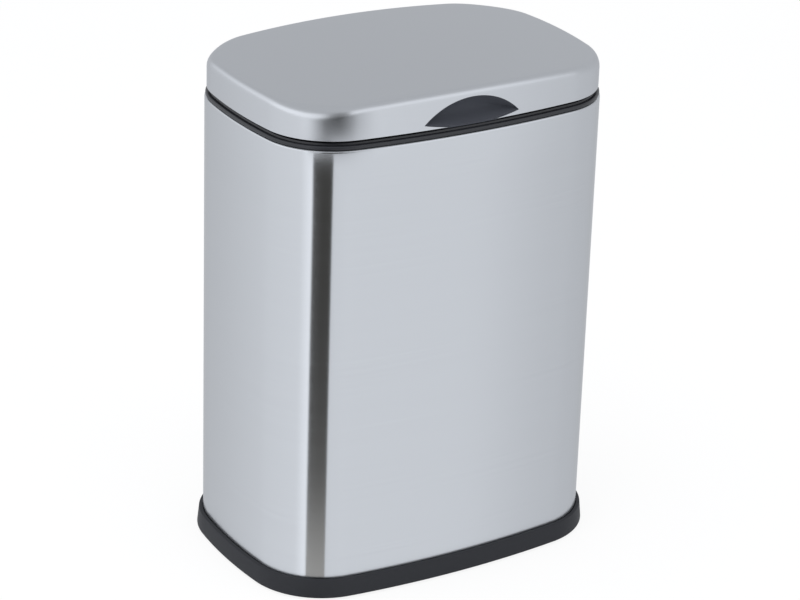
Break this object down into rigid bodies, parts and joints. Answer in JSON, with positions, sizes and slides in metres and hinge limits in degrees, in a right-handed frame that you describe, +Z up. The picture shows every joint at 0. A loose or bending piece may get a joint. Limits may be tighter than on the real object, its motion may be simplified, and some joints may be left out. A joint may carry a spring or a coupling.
{
  "type": "cosmetic bin",
  "caption": "Small bathroom waste bin with bowed satin steel sides, a black plastic base, a lift-out bucket and a domed lid that opens by a dished finger grip on a hidden barrel hinge.",
  "frame": {"origin": "on the floor, under the middle of the bin", "axes": "+Z up, +X along the width to the viewer's right, -Y towards the front with the finger grip, +Y towards the hinge"},
  "size_m": [0.2066, 0.1436, 0.2759],
  "materials": {
    "satin_steel": "satin, fine grain running round the body",
    "plated_steel": "bright zinc plate",
    "black_plastic": "fine moulded grain, low sheen",
    "grip_plastic": "smooth satin",
    "bucket_plastic": "smooth moulded polypropylene",
    "black_rubber": "matt"
  },
  "bodies": {
    "bin_body": {"base_tray": "black_plastic", "body_shell": "satin_steel", "top_collar": "black_plastic", "hinge_block": "black_plastic", "hinge_screws": "plated_steel", "hinge_pin": "plated_steel", "pin_clip": "plated_steel", "foot_pad_front_left": "black_rubber", "foot_pad_front_right": "black_rubber", "foot_pad_rear_left": "black_rubber", "foot_pad_rear_right": "black_rubber"},
    "lid": {"lid_shell": "satin_steel", "lid_liner": "black_plastic", "lid_leaf": "black_plastic", "leaf_screws": "plated_steel", "finger_grip": "grip_plastic", "lid_bumper_front_left": "black_rubber", "lid_bumper_front_right": "black_rubber", "lid_bumper_left": "black_rubber", "lid_bumper_right": "black_rubber"},
    "bucket": {"inner_bucket": "bucket_plastic"},
    "bail": {"bail_wire": "plated_steel", "bail_grip": "grip_plastic"}
  },
  "joints": [
    {"name": "lid_hinge", "type": "hinge", "parent": "bin_body", "child": "lid", "pos_m": [0, 0.062, 0.262], "axis": [-1, 0, 0], "range_deg": [0, 95]},
    {"name": "bucket_lift", "type": "slide", "parent": "bin_body", "child": "bucket", "axis": [0, 0, 1], "range_m": [0, 0.005]},
    {"name": "bail_swing", "type": "hinge", "parent": "bucket", "child": "bail", "pos_m": [0, 0, 0.2454], "axis": [-1, 0, 0], "range_deg": [0, 12]}
  ]
}
